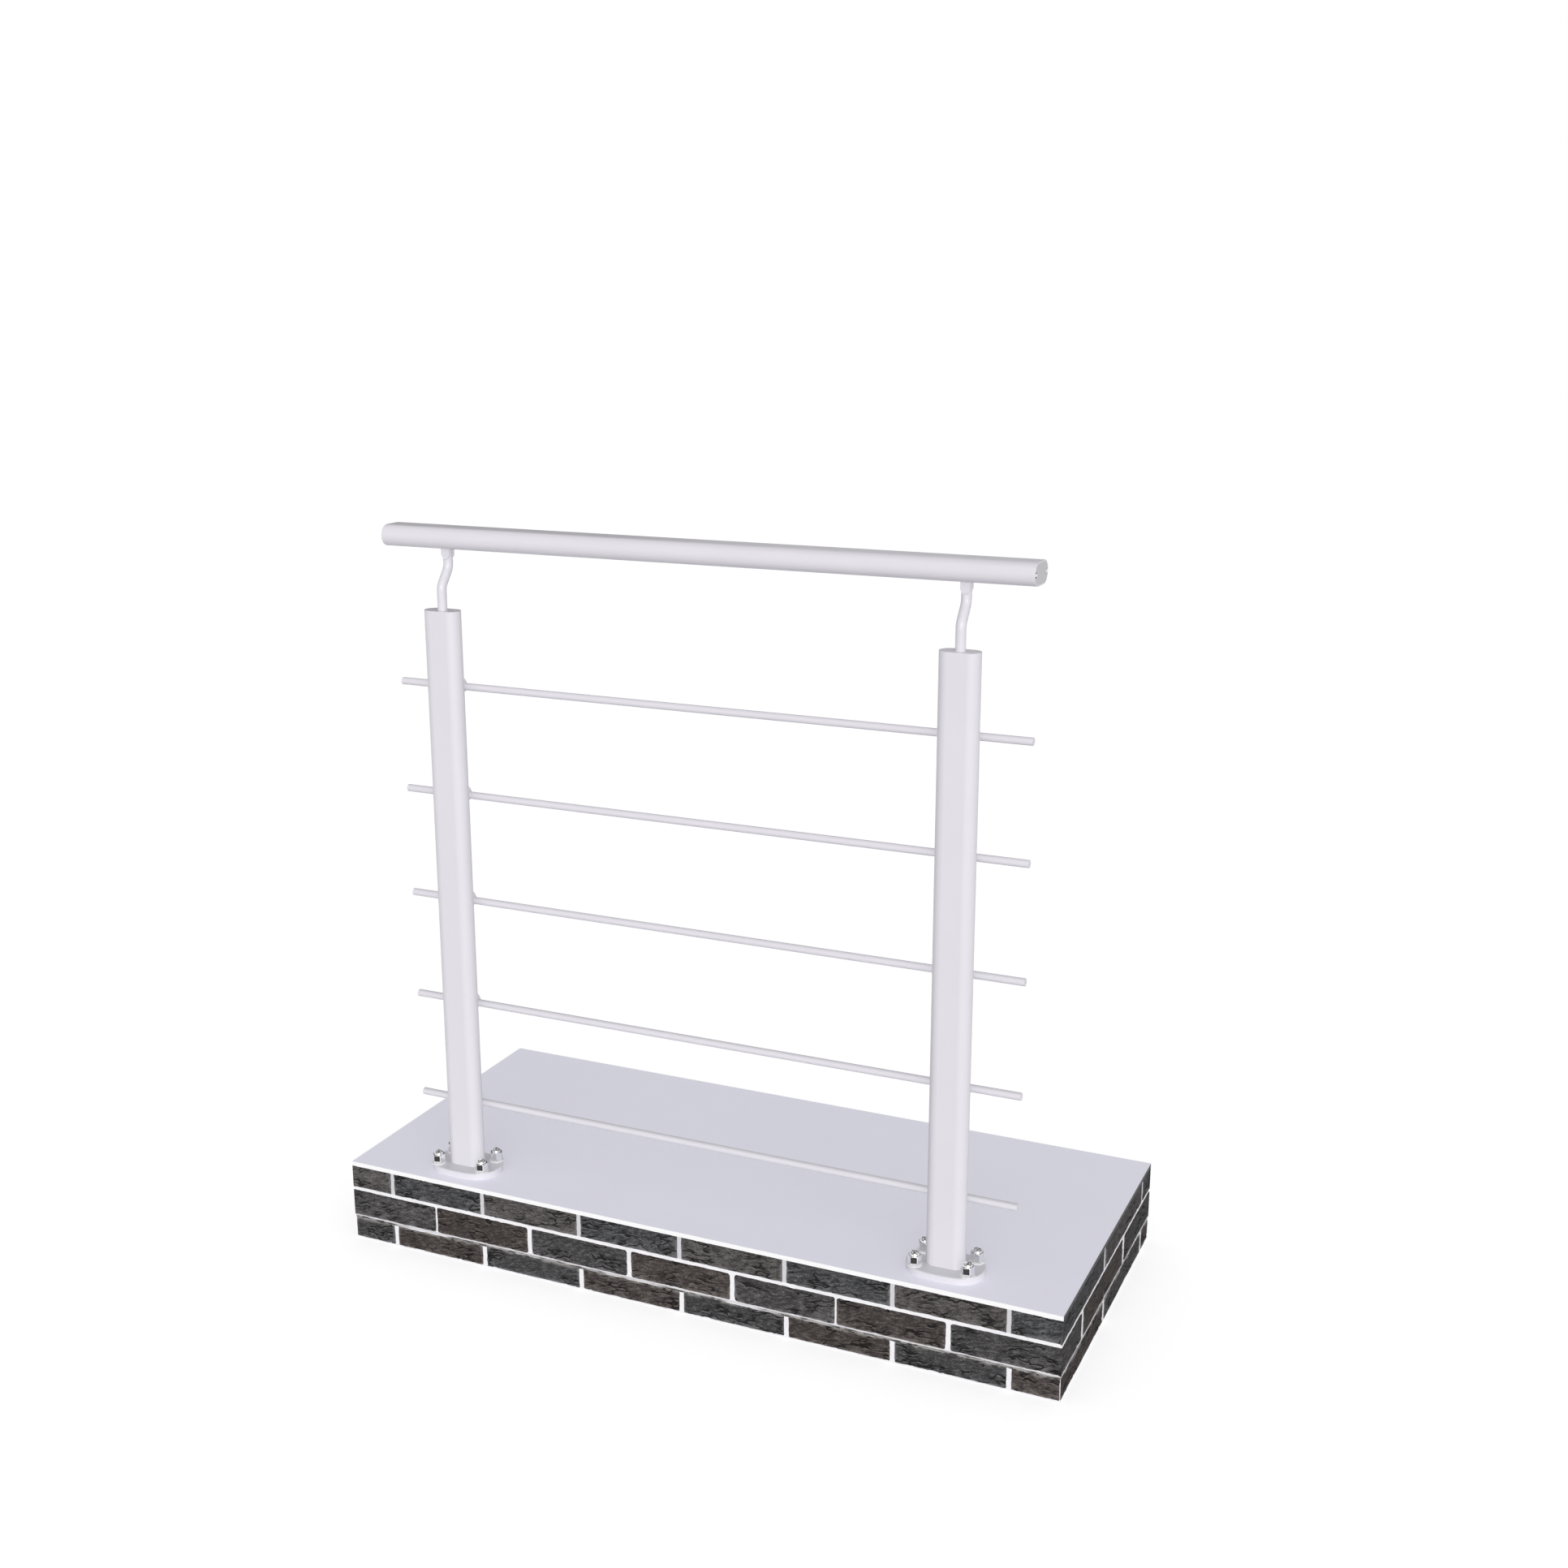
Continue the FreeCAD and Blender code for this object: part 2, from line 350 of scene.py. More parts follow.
# %% White floor that keeps a soft shadow
floor_half = 12.0
floor_drop = 0.5 * mm
floor_colour = (0.55, 0.55, 0.56)
floor_cloud = (0.5, 0.5, 0.5)
floor_glow = (0.62, 0.62, 0.62)


def floor_material():
    material, bench, surface, place = new_material("pale_floor")
    straight, reflected = light_path(bench)
    set_sockets(bench, surface, {
        "Base Color": bench.mix(bench.noise(place, 3.0, 3.0) * 0.03, floor_colour, floor_cloud),
        "Roughness": 0.9,
        "Specular IOR Level": 0.0,
        "Emission Color": bench.mix((straight + reflected).least(1.0), (0.0, 0.0, 0.0), floor_glow),
        "Emission Strength": 1.0,
    })
    return material


def lay_floor():
    mesh = bpy.data.meshes.new("floor")
    corners = [(x * floor_half, y * floor_half, -floor_drop) for x, y in ((-1, -1), (1, -1), (1, 1), (-1, 1))]
    mesh.from_pydata(corners, [], [(0, 1, 2, 3)])
    mesh.materials.append(floor_material())
    add_object("floor", mesh)


lay_floor()
print("floor laid at", -floor_drop)

# %% [markdown]
# ## Finishes of the metal
#
# Powder coat is a baked plastic film. It is never quite flat: it has a faint orange peel about a millimetre
# wide, and its sheen changes a little from place to place. Both come from noise in the piece's own Object
# coordinates, one feeding a Bump node and one the roughness. The faces that look up get a painted shade, a
# thin grey film that is stronger near the deck than on the handrail. The caps in the handrail's ends have a
# coat of their own, a little greyer, with bright clips, and a painted shade in the slots beside them.

# %% White powder coat
coat_white = (0.71, 0.695, 0.735)
coat_shade = (0.69, 0.675, 0.715)
# Painted shade on the faces that look up: its colour, and its share low and high on the railing.
top_shade_colour = (0.50, 0.51, 0.54)
top_shade_share = {"low": 0.45, "high": 0.12}
cap_coat = (0.57, 0.565, 0.585)
cap_shade = (0.545, 0.54, 0.555)
clip_bright = (0.95, 0.95, 0.95)
# Painted shade inside the slots of the end caps.
slot_shade_colour = (0.02, 0.02, 0.02)
rail_low, rail_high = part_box("handrail_tube")
handrail_centre = (rail_low.x + rail_high.x) / 2
handrail_half = (rail_high.x - rail_low.x) / 2


def powder_coat(name, clean, shaded, roughness):
    material, bench, surface, place = new_material(name)
    clouds = bench.noise(place, 9.0, 3.0)
    coat = bench.mix(clouds.between(0.35, 0.7) * 0.5, clean, shaded)
    facing_up = bench.facing()[2]
    height = bench.parts_of(place)[2].between(0.2, 0.7)
    tone_share = height * (top_shade_share["high"] - top_shade_share["low"]) + top_shade_share["low"]
    peel = bench.noise(place, 900.0, 2.0)
    sheen = bench.noise(place, 40.0, 3.0)
    set_sockets(bench, surface, {
        # Painted shade on faces that look up, stronger low on the railing than high up.
        "Base Color": bench.mix(facing_up.between(0.5, 0.95) * tone_share, coat, top_shade_colour),
        "Roughness": sheen * 0.1 + roughness,
        "Normal": bump(bench, peel, 0.12, 0.15 * mm),
    })
    return material


def end_cap_coat():
    """The coat of the caps: how far a place lies behind the cap's face tells the clips and the slots, whose
    dark colour is a painted shade.
    """
    material = powder_coat("end_cap_powder_coat", cap_coat, cap_shade, 0.36)
    bench = Bench(material.node_tree)
    surface = material.node_tree.nodes["Principled BSDF"]
    coat = Value(bench, surface.inputs["Base Color"].links[0].from_socket)
    place = bench.node("ShaderNodeTexCoord", output="Object")
    depth = handrail_half - (bench.parts_of(place)[0] - handrail_centre).size()
    colour = bench.mix(depth.above(0.2 * mm), coat, clip_bright)
    # Deeper than 0.6 mm, inside the slots, the colour is a painted shade.
    bench.feed(surface.inputs["Base Color"], bench.mix(depth.above(0.6 * mm), colour, slot_shade_colour))
    return material


white_metal = powder_coat("white_powder_coat", coat_white, coat_shade, 0.28)
end_cap_metal = end_cap_coat()
print("powder coat:", white_metal.name, end_cap_metal.name)

# %% [markdown]
# Polished stainless steel is a mirror with a few hair scratches, so its colour hardly matters and its
# surroundings do. The scratches are long thin noise, stretched round the turned part by reading the height
# far more finely than the rest. The spanner has burnished the nuts, and one flat of each carries a dark,
# dull patch of painted reflection. The washers are pale and satin. An attribute on the faces of the
# fasteners tells how burnished each one is, and where the painted reflection lies.

# %% Polished steel
steel_bright = (0.93, 0.93, 0.94)
steel_smeared = (0.76, 0.76, 0.76)
# Colour of the painted dark reflection on one flat of each nut.
dark_reflection_colour = (0.02, 0.018, 0.016)


def polished_steel():
    material, bench, surface, place = new_material("polished_stainless_steel")
    x, y, z = bench.parts_of(place)
    burnish_and_painted_reflection = bench.stored("burnish_and_painted_reflection")
    turned = bench.noise(bench.join(x * 60.0, y * 60.0, z * 2600.0), 1.0, 2.0)
    smears = bench.noise(place, 240.0, 3.0, 0.6)
    worn = bench.mix(smears.between(0.4, 0.65) * 0.3, steel_bright, steel_smeared)
    set_sockets(bench, surface, {
        # Where the stored value is 0, on one flat of each nut, the colour is a painted dark reflection.
        "Base Color": bench.mix(burnish_and_painted_reflection.between(0.0, 0.4), dark_reflection_colour, worn),
        "Metallic": burnish_and_painted_reflection.between(0.2, 0.8),
        "Roughness": smears * 0.08 + (1.0 - burnish_and_painted_reflection) * 0.5 + 0.09,
        "Normal": bump(bench, turned, 0.1, 0.04 * mm),
    })
    return material


steel = polished_steel()
print("steel:", steel.name)

# %% [markdown]
# ## Finishes of the plinth
#
# The deck has a smooth coat, pale with a touch of blue. It ends in a plain white edge above the bricks, and
# at the two ends of the plinth the edge is as dark as they are. One material serves all of it: the direction
# that a face looks in tells the top from the edges. The core shows only from below, as plain cast concrete
# with a few blow holes.

# %% Deck coat and concrete
deck_colour = (0.87, 0.87, 0.96)
deck_cloud = (0.86, 0.86, 0.95)
edge_colour = (0.93, 0.93, 0.93)
end_edge_colour = (0.075, 0.075, 0.077)
cast_grey = (0.42, 0.42, 0.41)
cast_pale = (0.56, 0.56, 0.54)
blow_hole = (0.25, 0.25, 0.24)


def deck_screed():
    material, bench, surface, place = new_material("deck_screed")
    clouds = bench.noise(place, 5.0, 4.0, 0.55)
    grain = bench.noise(place, 1500.0, 2.0)
    facing_end, _, facing_up = bench.facing()
    edge = bench.mix(facing_end.size().between(0.4, 0.6), edge_colour, end_edge_colour)
    top = bench.mix(clouds.between(0.3, 0.7), deck_colour, deck_cloud)
    set_sockets(bench, surface, {
        "Base Color": bench.mix(facing_up.between(0.4, 0.7), edge, top),
        "Roughness": clouds * 0.1 + 0.55,
        "Specular IOR Level": 0.2,
        "Normal": bump(bench, grain, 0.15, 0.1 * mm),
    })
    return material


def cast_concrete():
    material, bench, surface, place = new_material("cast_concrete")
    clouds = bench.noise(place, 12.0, 5.0, 0.6)
    grit = bench.noise(place, 700.0, 3.0, 0.7)
    holes = bench.node("ShaderNodeTexVoronoi", None, {"Vector": place, "Scale": 90.0})
    pits = 1.0 - holes.between(0.06, 0.16)
    grey = bench.mix(clouds.between(0.3, 0.7), cast_grey, cast_pale)
    set_sockets(bench, surface, {
        "Base Color": bench.mix(pits * 0.7, grey, blow_hole),
        "Roughness": grit * 0.2 + 0.7,
        "Normal": bump(bench, grit * 0.3 - pits, 0.5, 0.8 * mm),
    })
    return material


screed = deck_screed()
concrete = cast_concrete()
print("plinth:", screed.name, concrete.name)

# %% Give the frame's own pieces their finish
finish_by_slot = {
    "white_metal": white_metal,
    "end_cap_metal": end_cap_metal,
    "concrete": concrete,
    "screed": screed,
}
slot_of = {part["node"]: part["material_slot"] for part in frame["record"]["subparts"]}
for name, piece in frame["nodes"].items():
    finish = finish_by_slot.get(slot_of[name])
    if finish:
        piece.data.materials.clear()
        piece.data.materials.append(finish)
print("finished from the frame:", sum(slot in finish_by_slot for slot in slot_of.values()))

# %% [markdown]
# ## Brick slips
#
# The plinth is clad with slips, thin bricks glued on edge to edge and pointed with white mortar. They come
# from a hand mould, so each face is creased where the soft clay was thrown in, and no two are alike. One
# way to make them would be an image on a flat wall, but their edges and creases catch the light, so here
# each slip is a body of its own. A plain blank is modelled once. A geometry tree sets it on every place of
# the bond, scales it to the slip, and then works the creases and the worn edges into its face.
#
# The front and the two ends have bonds of their own. In the front's middle course every fourth head joint
# came out narrow. The ends have longer slips and wider joints, begin their courses with the other clay, and
# carry a painted shade that makes their slips less pale.

# %% The bond: where the slips go
slip_thickness = 12.0 * mm
mortar_recess = 1.1 * mm
courses = {
    "top": {"low": 86.6 * mm, "high": 122.9 * mm, "rounded": 1.0 * mm, "corner_joint": 0.0},
    "middle": {"low": 39.1 * mm, "high": 81.9 * mm, "rounded": 4.0 * mm, "corner_joint": 0.0},
    "bottom": {"low": 1.5 * mm, "high": 34.6 * mm, "rounded": 2.0 * mm, "corner_joint": 1.5 * mm},
}
front_bond = {
    "pitch": 167.0 * mm,
    "wider": 1.0,
    "first_joint": {"top": 73.9 * mm, "middle": 153.2 * mm, "bottom": 77.2 * mm},
    "narrow_joint": 1.9 * mm,
    "first_clay": {"top": 0, "middle": 0, "bottom": 0},
    "painted_end_shade": 0.0,
}
side_bond = {
    "pitch": 231.0 * mm,
    "wider": 1.6,
    "first_joint": {"top": 222.2 * mm, "middle": 106.8 * mm, "bottom": 226.7 * mm},
    "narrow_joint": 6.3 * mm,
    "first_clay": {"top": 1, "middle": 0, "bottom": 1},
    # Painted shade on the ends: every slip is made this much less pale.
    "painted_end_shade": 0.35,
}
joint_width = {"top": 5.6 * mm, "middle": 6.3 * mm, "bottom": 6.3 * mm}
joint_shifts = {
    "top": [0.0, -3.0 * mm, -1.4 * mm, -0.3 * mm],
    "middle": [0.0, 0.2 * mm, 3.6 * mm, 5.4 * mm],
    "bottom": [0.0, -5.1 * mm, -2.1 * mm, -0.8 * mm],
}


def slips_of_course(course, bond, face_length):
    """Start and end of every slip in one course, measured from the left end of the face."""
    shortest = 4 * mm
    corner_joint = courses[course]["corner_joint"]
    slips = []
    start = corner_joint
    middle = bond["first_joint"][course]
    while middle < face_length - shortest:
        turn = len(slips) % 4
        narrow = course == "middle" and turn == 0
        half_joint = (bond["narrow_joint"] if narrow else joint_width[course]) * bond["wider"] / 2
        joint = middle + joint_shifts[course][turn]
        slips.append((start, joint - half_joint))
        start = joint + half_joint
        middle += bond["pitch"]
    slips.append((start, face_length - corner_joint))
    return slips


print("slips in the front's top course:", len(slips_of_course("top", front_bond, plinth_length)))

# %% [markdown]
# The clays take turns along a course: a charcoal one with a touch of blue, and a brown one. The top course
# has a paler, dustier brown. Each slip gets two numbers, how brown it is and how pale.

# %% Clays in their order, as (brown, pale)
clays = {
    "top": [(0.60, 0.62), (0.0, 0.28)],
    "middle": [(0.35, 0.30), (1.0, 0.16), (0.30, 0.22), (0.95, 0.28)],
    "bottom": [(0.20, 0.20), (1.0, 0.18), (0.20, 0.26), (0.90, 0.32)],
}

# %% [markdown]
# The places are a mesh of loose points, one for each slip. What differs from slip to slip travels with its
# point as attributes: its size, its number, its clay, how round its corners are, and whether an end is at a
# corner of the plinth, where the slip of the next face meets it in a mitre, mostly without a joint.

# %% Points that carry the slips
number_step = 1.37
number_step_of_faces = 41.0
brown_play = 0.05
pale_play = 0.06


def bond_points(face, bond, face_length, seed):
    draw = random.Random(seed)
    places, sizes, rows = [], [], []
    for course, form in courses.items():
        slips = slips_of_course(course, bond, face_length)
        seamless = form["corner_joint"] == 0.0
        for count, (start, end) in enumerate(slips):
            brown, pale = clays[course][(count + bond["first_clay"][course]) % len(clays[course])]
            first, last = count == 0, count == len(slips) - 1
            places.append(((start + end - face_length) / 2, (form["low"] + form["high"]) / 2, 0.0))
            sizes.append((end - start, form["high"] - form["low"], 1.0))
            rows.append({
                "slip_number": len(places) * number_step + seed * number_step_of_faces,
                "brown": brown + draw.uniform(-brown_play, brown_play),
                # On the ends, a painted shade takes some paleness off every slip.
                "pale": pale - bond["painted_end_shade"] + draw.uniform(-pale_play, pale_play),
                "rounded": form["rounded"],
                "left_mitre": float(first),
                "right_mitre": float(last),
                "left_corner": float(first and seamless),
                "right_corner": float(last and seamless),
            })
    mesh = bpy.data.meshes.new(f"bond_{face}")
    mesh.from_pydata(places, [], [])
    size = mesh.attributes.new("slip_size", "FLOAT_VECTOR", "POINT")
    size.data.foreach_set("vector", [number for triple in sizes for number in triple])
    for name in rows[0]:
        values = [row[name] for row in rows]
        mesh.attributes.new(name, "FLOAT", "POINT").data.foreach_set("value", values)
    return add_object(f"bond_{face}", mesh)


print("points ready to be set out")

# %% [markdown]
# The blank is a closed slab, one unit long and high. Its face is a grid whose lines crowd together towards
# the rim, because the rim is where the edges round off and need the points.

# %% The blank of a slip
cells_along = 96
cells_up = 28


def crowded(share):
    """A share from 0 to 1 across the face, moved towards the nearer rim, as -0.5 to 0.5."""
    even = share - 0.5
    return 0.5 * even + 0.25 * math.sin(math.pi * even)


def grid_rim(grid):
    """The points round the border of a grid, from the lower left corner anticlockwise."""
    lower = grid[0][:-1]
    right = [row[-1] for row in grid[:-1]]
    upper = grid[-1][:0:-1]
    left = [row[0] for row in grid[:0:-1]]
    return lower + right + upper + left


def close_panel(shape, front, back):
    """Faces for a grid of points, for the walls from its rim to the points behind it, and for the back."""
    for lower, upper in zip(front, front[1:]):
        for i in range(len(lower) - 1):
            shape.faces.new((lower[i], lower[i + 1], upper[i + 1], upper[i]))
    rim = grid_rim(front)
    for i in range(len(rim)):
        after = (i + 1) % len(rim)
        shape.faces.new((rim[after], rim[i], back[i], back[after]))
    shape.faces.new(list(reversed(back)))


def slip_blank():
    shape = bmesh.new()
    across = [crowded(i / cells_along) for i in range(cells_along + 1)]
    up = [crowded(j / cells_up) for j in range(cells_up + 1)]
    front = [[shape.verts.new((x, y, 0.0)) for x in across] for y in up]
    back = [shape.verts.new((point.co.x, point.co.y, -slip_thickness)) for point in grid_rim(front)]
    close_panel(shape, front, back)
    return add_body("slip_blank", shape)


blank = slip_blank()
print("blank has", len(blank.data.polygons), "faces")

# %% [markdown]
# The creases are one formula that two trees use: the geometry tree presses them into the face, and the
# material paints shade into them and a highlight on a lip beside each. Noise read along a slanting,
# stretched grid gives long flakes. A crease runs where that noise crosses its middle value, and a second,
# broader noise decides which parts of a slip have any. Both flakes and creases are read from a place that
# a soft noise has moved a little, because straight ones look brushed. The mesh is too coarse for a
# hairline, so it gets wide, soft creases and the material paints narrow shaded ones.

# %% The formula of the creases
crease_slant = math.radians(-9)
wave_x = 10.0 * mm
wave_y = 12.0 * mm


def along_and_across(x, y):
    """Place on the face measured along the flakes and across them."""
    along = x * math.cos(crease_slant) - y * math.sin(crease_slant)
    across = x * math.sin(crease_slant) + y * math.cos(crease_slant)
    return along, across


def warped(bench, x, y, number):
    """The same place moved a little, so that flakes and creases run in waves."""
    warp_x, warp_y, _ = bench.parts_of(bench.noise(bench.join(x, y, number), 60.0, 2.0, output="Color"))
    return x + warp_x * wave_x, y + warp_y * wave_y


def creases(bench, place, width):
    """How deep the creases are at a place on the slips, from 0 to 1."""
    x, y, number = bench.parts_of(place)
    along, across = along_and_across(*warped(bench, x, y, number))
    flakes = bench.noise(bench.join(along * 30.0, across * 105.0, number * 3.1), 1.0, 2.0, 0.45)
    patches = bench.noise(bench.join(x * 22.0, y * 40.0, number * 1.7 + 9.0), 1.0, 1.0)
    line = 1.0 - (flakes - 0.5).size().between(width * 0.15, width)
    return line * patches.between(0.46, 0.56)


def flake_tone(bench, place):
    """Soft light and dark flakes on the clay, from 0 to 1."""
    x, y, number = bench.parts_of(place)
    along, across = along_and_across(*warped(bench, x, y, number))
    return bench.noise(bench.join(along * 85.0, across * 280.0, number * 5.3), 1.0, 5.0, 0.75)


print("crease slant", round(math.degrees(crease_slant), 1), "degrees")

# %% [markdown]
# Now the tree itself. It first writes down where each point of the blank lies, then sets a blank on every
# place and makes the copies real. After that every point can be moved on its own: round the corners of the
# slip, back from the rims, a little sideways where the mould left the rim uneven, and inwards along the
# creases. The last steps stand the finished face upright and turn it to its side of the plinth.

# %% Inputs and attributes of a tree
def new_tree(name, inputs, output):
    """A geometry tree with named inputs, as a bench, what is asked for by name, and its last node."""
    tree = bpy.data.node_groups.new(name, "GeometryNodeTree")
    for label, (kind, value) in inputs.items():
        made = tree.interface.new_socket(name=label, in_out="INPUT", socket_type=f"NodeSocket{kind}")
        if value is not None:
            made.default_value = value
    tree.interface.new_socket(name=output, in_out="OUTPUT", socket_type="NodeSocketGeometry")
    bench = Bench(tree)
    given = tree.nodes.new("NodeGroupInput")
    asked = {socket.name: Value(bench, socket) for socket in given.outputs if socket.name}
    return bench, asked, tree.nodes.new("NodeGroupOutput")


def attribute(bench, name, kind="FLOAT"):
    return bench.node("GeometryNodeInputNamedAttribute", {"data_type": kind}, {"Name": name}, "Attribute")


def remember(bench, geometry, name, value, kind="FLOAT"):
    settings = {"data_type": kind, "domain": "POINT"}
    sockets = {"Geometry": geometry, "Name": name, "Value": value}
    return bench.node("GeometryNodeStoreNamedAttribute", settings, sockets)


def copies(bench, places, shape, how):
    """A real copy of a shape on every place."""
    sockets = {"Points": places, "Instance": shape, **how}
    placed = bench.node("GeometryNodeInstanceOnPoints", None, sockets)
    return bench.node("GeometryNodeRealizeInstances", None, [placed])


print("helpers for trees ready")

# %% How far a point lies from the borders of its slip
def borders(bench):
    """Distances of a point to the ends, to the beds and to the plinth's corners, and where it is.

    An end without a joint counts as a metre away, so the slip runs on to the corner unrounded.
    """
    across, up, depth = bench.parts_of(attribute(bench, "cell", "FLOAT_VECTOR"))
    length, height, _ = bench.parts_of(attribute(bench, "slip_size", "FLOAT_VECTOR"))
    left_corner = attribute(bench, "left_corner")
    right_corner = attribute(bench, "right_corner")
    from_left = (across + 0.5) * length
    from_right = (0.5 - across) * length
    return {
        "across": across,
        "up": up,
        "on_face": depth.above(-0.1 * mm),
        "from_left": from_left,
        "from_right": from_right,
        "to_end": (from_left + left_corner).least(from_right + right_corner),
        "to_bed": (0.5 - up.size()) * height,
        "to_corner": (from_left + 1.0 - left_corner).least(from_right + 1.0 - right_corner),
    }


def rounded_outline(bench, at):
    """Sideways move that draws the four corners of a slip in to quarter circles."""
    radius = attribute(bench, "rounded")
    inside_x = (radius - at["to_end"]).most(0.0)
    inside_y = (radius - at["to_bed"]).most(0.0)
    straight = (inside_x * inside_x + inside_y * inside_y) ** 0.5
    shrink = 1.0 - inside_x.most(inside_y) / straight.most(0.001 * mm)
    move_x = inside_x * shrink * at["across"].math("SIGN") * -1.0
    move_y = inside_y * shrink * at["up"].math("SIGN") * -1.0
    return move_x, move_y


def uneven_rim(bench, at, place, wobble):
    """Sideways move that leaves the rim as uneven as the mould did."""
    noise_x, noise_y, _ = bench.parts_of(bench.noise(place, 85.0, 4.0, 0.6, "Color"))
    away = at["to_corner"].between(0.0, 8 * mm) * wobble
    move_x = (noise_x - 0.5) * away * (1.0 - at["to_end"].between(0.0, 6 * mm))
    move_y = (noise_y - 0.5) * away * (1.0 - at["to_bed"].between(0.0, 6 * mm))
    return move_x, move_y


def pressed_face(bench, at, place, radius, depth):
    """How far the face lies back, from its rounded rim, its creases and its lumps."""
    to_rim = at["to_end"].least(at["to_bed"])
    reach = 1.0 - to_rim.least(radius) / radius
    rounding = (1.0 - (1.0 - reach * reach).most(0.0) ** 0.5) * radius
    lumps = bench.noise(place, 48.0, 3.0).between(0.25, 0.75) * (0.35 * mm)
    pressed = creases(bench, place, 0.07) * depth + lumps
    return (rounding + pressed * at["to_corner"].between(0.0, 8 * mm)) * at["on_face"]


def mitre(at, left_mitre, right_mitre):
    """Sideways move of the back that leaves room for the slip round the corner."""
    behind = 1.0 - at["on_face"]
    from_left_end = (slip_thickness - at["from_left"]).most(0.0) * left_mitre
    from_right_end = (slip_thickness - at["from_right"]).most(0.0) * right_mitre
    return (from_left_end - from_right_end) * behind


print("moves of a slip's points ready")

# %% The tree that makes a clad face
def slip_tree():
    bench, asked, last = new_tree("set_brick_slips", {
        "Places": ("Geometry", None),
        "Blank": ("Object", None),
        "Rim radius": ("Float", 1.9 * mm),
        "Rim wobble": ("Float", 2.4 * mm),
        "Crease depth": ("Float", 0.8 * mm),
        "Distance": ("Float", 0.0),
        "Turn": ("Float", 0.0),
        "Clay": ("Material", None),
    }, "Slips")
    shape = bench.node("GeometryNodeObjectInfo", None, {"Object": asked["Blank"]}, "Geometry")
    own_place = bench.node("GeometryNodeInputPosition")
    shape = remember(bench, shape, "cell", own_place, "FLOAT_VECTOR")
    scale = attribute(bench, "slip_size", "FLOAT_VECTOR")
    slips = copies(bench, asked["Places"], shape, {"Scale": scale})

    x, y, _ = bench.parts_of(own_place)
    place = bench.join(x, y, attribute(bench, "slip_number"))
    slips = remember(bench, slips, "slip_place", place, "FLOAT_VECTOR")
    place = attribute(bench, "slip_place", "FLOAT_VECTOR")
    at = borders(bench)
    slips = remember(bench, slips, "slip_rim", at["to_end"].least(at["to_bed"]))
    corner_x, corner_y = rounded_outline(bench, at)
    rim_x, rim_y = uneven_rim(bench, at, place, asked["Rim wobble"])
    cut = mitre(at, attribute(bench, "left_mitre"), attribute(bench, "right_mitre"))
    inwards = pressed_face(bench, at, place, asked["Rim radius"], asked["Crease depth"])
    offset = bench.join(corner_x + rim_x + cut, corner_y + rim_y, inwards * -1.0)
    slips = bench.node("GeometryNodeSetPosition", None, {"Geometry": slips, "Offset": offset})

    to_front = bench.join(0.0, asked["Distance"] * -1.0, 0.0)
    upright = {"Geometry": slips, "Rotation": (math.pi / 2, 0.0, 0.0), "Translation": to_front}
    slips = bench.node("GeometryNodeTransform", None, upright)
    to_side = bench.join(0.0, 0.0, asked["Turn"])
    slips = bench.node("GeometryNodeTransform", None, {"Geometry": slips, "Rotation": to_side})
    slips = bench.node("GeometryNodeSetMaterial", None, {"Geometry": slips, "Material": asked["Clay"]})
    bench.feed(last.inputs["Slips"], slips)
    return bench.tree


bond_tree = slip_tree()
print("nodes in the tree:", len(bond_tree.nodes))

# %% [markdown]
# ## Clay and mortar
#
# The clay is nearly black, and what makes it look like clay is dust: it lies on the flakes, and it is
# thickest towards the lower edge of a slip and on its rim. A painted highlight lies on the lip below each
# crease, and a painted shade darkens the creases and the darkest flakes. The upper rims are bare clay, but
# in the bottom course they are smeared with mortar from the joint above. All of it is worked out in the
# slip's own measure, which the tree has written down as
# attributes, apart from the course, which the height on the plinth tells.

# %% The material of the slips
charcoal = (0.044, 0.045, 0.047)
# The dusty colours serve both the dust and the painted highlight on the lips.
charcoal_dust_and_lit = (0.158, 0.159, 0.166)
brown_clay = (0.048, 0.041, 0.038)
brown_dust_and_lit = (0.156, 0.135, 0.127)
# Colour of the painted shade in the creases and the darkest flakes.
crease_shade_colour = (0.010, 0.0095, 0.009)
mortar_smear = (0.42, 0.41, 0.39)
dust_and_lip_highlight = {"flakes": 4.2, "patches": 0.4, "grit": 2.0, "pale": 0.66, "foot": 0.30, "rim": 0.85, "painted_lip_highlight": 0.6}
crease_width = 0.065
# Width of the painted highlight on the lip beside each crease.
lip_highlight_width = 0.055
relief = 1.3 * mm


